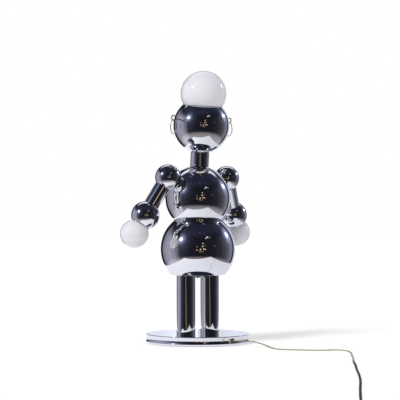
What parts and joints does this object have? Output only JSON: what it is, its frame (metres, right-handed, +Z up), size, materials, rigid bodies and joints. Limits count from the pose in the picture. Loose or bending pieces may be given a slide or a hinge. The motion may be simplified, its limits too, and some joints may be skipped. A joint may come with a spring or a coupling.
{
  "type": "desk lamp",
  "caption": "Desk lamp shaped as a small robot: chromed balls and tubes on a round base, opal globe lamps for head and hands, swinging arms, turning head, hoop ears, flat cord.",
  "frame": {"origin": "centre of the base's underside, on the surface the lamp stands on", "axes": "+Z up; the figure faces -Y and the cord leaves the base at +Y; the figure's left arm is on +X"},
  "size_m": [0.9526, 1.4378, 0.7383],
  "materials": {
    "chrome": "bright polished chrome plate, clear reflections",
    "zinc_steel": "zinc plated steel, dull satin",
    "brass": "bare spun brass, slightly dull",
    "cast_iron": "rough black cast iron",
    "felt": "dark green wool felt",
    "fibreboard": "brown pressed fibreboard",
    "bushing": "black nylon, matt",
    "porcelain": "glazed white porcelain",
    "opal_glass": "opal white glass, gloss outside",
    "dark_wire": "dark grey steel wire",
    "pale_wire": "pale silver-gold wire, satin",
    "cord": "clear gold vinyl over two copper cores",
    "plug": "moulded gold vinyl, smooth"
  },
  "bodies": {
    "stand": {"base_shell": "chrome", "base_weight": "cast_iron", "base_cover": "fibreboard", "base_felt": "felt", "cord_bushing": "bushing", "leg_left": "chrome", "leg_right": "chrome", "leg_pipes": "zinc_steel", "leg_check_rings": "zinc_steel", "pipe_nuts": "zinc_steel", "pipe_washers": "zinc_steel", "hip_shell": "chrome", "waist_pipe": "zinc_steel", "chest_shell": "chrome", "chest_strap": "zinc_steel", "shoulder_seat_left": "zinc_steel", "shoulder_seat_right": "zinc_steel", "neck_seat": "zinc_steel", "neck_pipe": "zinc_steel", "neck_tube": "chrome", "cord": "cord", "cord_coil": "cord", "plug_body": "plug", "plug_blades": "brass"},
    "head_swivel": {"head_saddle": "zinc_steel", "saddle_springs": "zinc_steel"},
    "head": {"head_shell": "chrome", "socket_bridge": "zinc_steel", "socket_nipple": "zinc_steel", "head_socket": "porcelain", "ear_eye_left": "dark_wire", "ear_eye_right": "dark_wire", "ear_nuts": "zinc_steel"},
    "head_lamp": {"head_globe": "opal_glass", "head_globe_cap": "brass"},
    "hoop_left": {"ear_hoop_left": "pale_wire"},
    "hoop_right": {"ear_hoop_right": "pale_wire"},
    "arm_left": {"shoulder_ball_left": "chrome", "shoulder_pipe_left": "zinc_steel", "shoulder_springs_left": "zinc_steel", "arm_tube_left": "chrome", "arm_pipe_left": "zinc_steel", "hand_ball_left": "chrome", "hand_seat_left": "zinc_steel", "hand_socket_left": "porcelain"},
    "hand_lamp_left": {"hand_globe_left": "opal_glass", "hand_globe_cap_left": "brass"},
    "arm_right": {"shoulder_ball_right": "chrome", "shoulder_pipe_right": "zinc_steel", "shoulder_springs_right": "zinc_steel", "arm_tube_right": "chrome", "arm_pipe_right": "zinc_steel", "hand_ball_right": "chrome", "hand_seat_right": "zinc_steel", "hand_socket_right": "porcelain"},
    "hand_lamp_right": {"hand_globe_right": "opal_glass", "hand_globe_cap_right": "brass"}
  },
  "joints": [
    {"name": "head_turn", "type": "hinge", "parent": "stand", "child": "head_swivel", "pos_m": [0, 0.01446, 0.58995], "axis": [0, 0.0732, 0.9973], "range_deg": [-170, 170]},
    {"name": "head_tilt", "type": "hinge", "parent": "head_swivel", "child": "head", "pos_m": [0, 0.01446, 0.58995], "axis": [1, 0, 0], "range_deg": [-4, 7.5]},
    {"name": "head_lamp_screw", "type": "hinge", "parent": "head", "child": "head_lamp", "pos_m": [0, 0.01446, 0.58995], "axis": [0, 0.1045, 0.9945], "continuous": true},
    {"name": "left_hoop_swing", "type": "hinge", "parent": "head", "child": "hoop_left", "pos_m": [0.10011, 0.01547, 0.59955], "axis": [0.9613, -0.2756, 0], "range_deg": [-60, 60]},
    {"name": "right_hoop_swing", "type": "hinge", "parent": "head", "child": "hoop_right", "pos_m": [-0.10011, 0.01547, 0.59955], "axis": [0.9613, -0.2756, 0], "range_deg": [-60, 60]},
    {"name": "left_shoulder_swing", "type": "hinge", "parent": "stand", "child": "arm_left", "pos_m": [0.10587, 0, 0.44835], "axis": [-0.8862, 0, -0.4633], "range_deg": [-130, 105]},
    {"name": "left_hand_lamp_screw", "type": "hinge", "parent": "arm_left", "child": "hand_lamp_left", "pos_m": [0.15913, -0.0308, 0.34648], "axis": [0.4475, -0.2588, -0.856], "continuous": true},
    {"name": "right_shoulder_swing", "type": "hinge", "parent": "stand", "child": "arm_right", "pos_m": [-0.10587, 0, 0.44835], "axis": [-0.8862, 0, 0.4633], "range_deg": [-130, 105]},
    {"name": "right_hand_lamp_screw", "type": "hinge", "parent": "arm_right", "child": "hand_lamp_right", "pos_m": [-0.15913, -0.0308, 0.34648], "axis": [-0.4475, -0.2588, -0.856], "continuous": true}
  ]
}
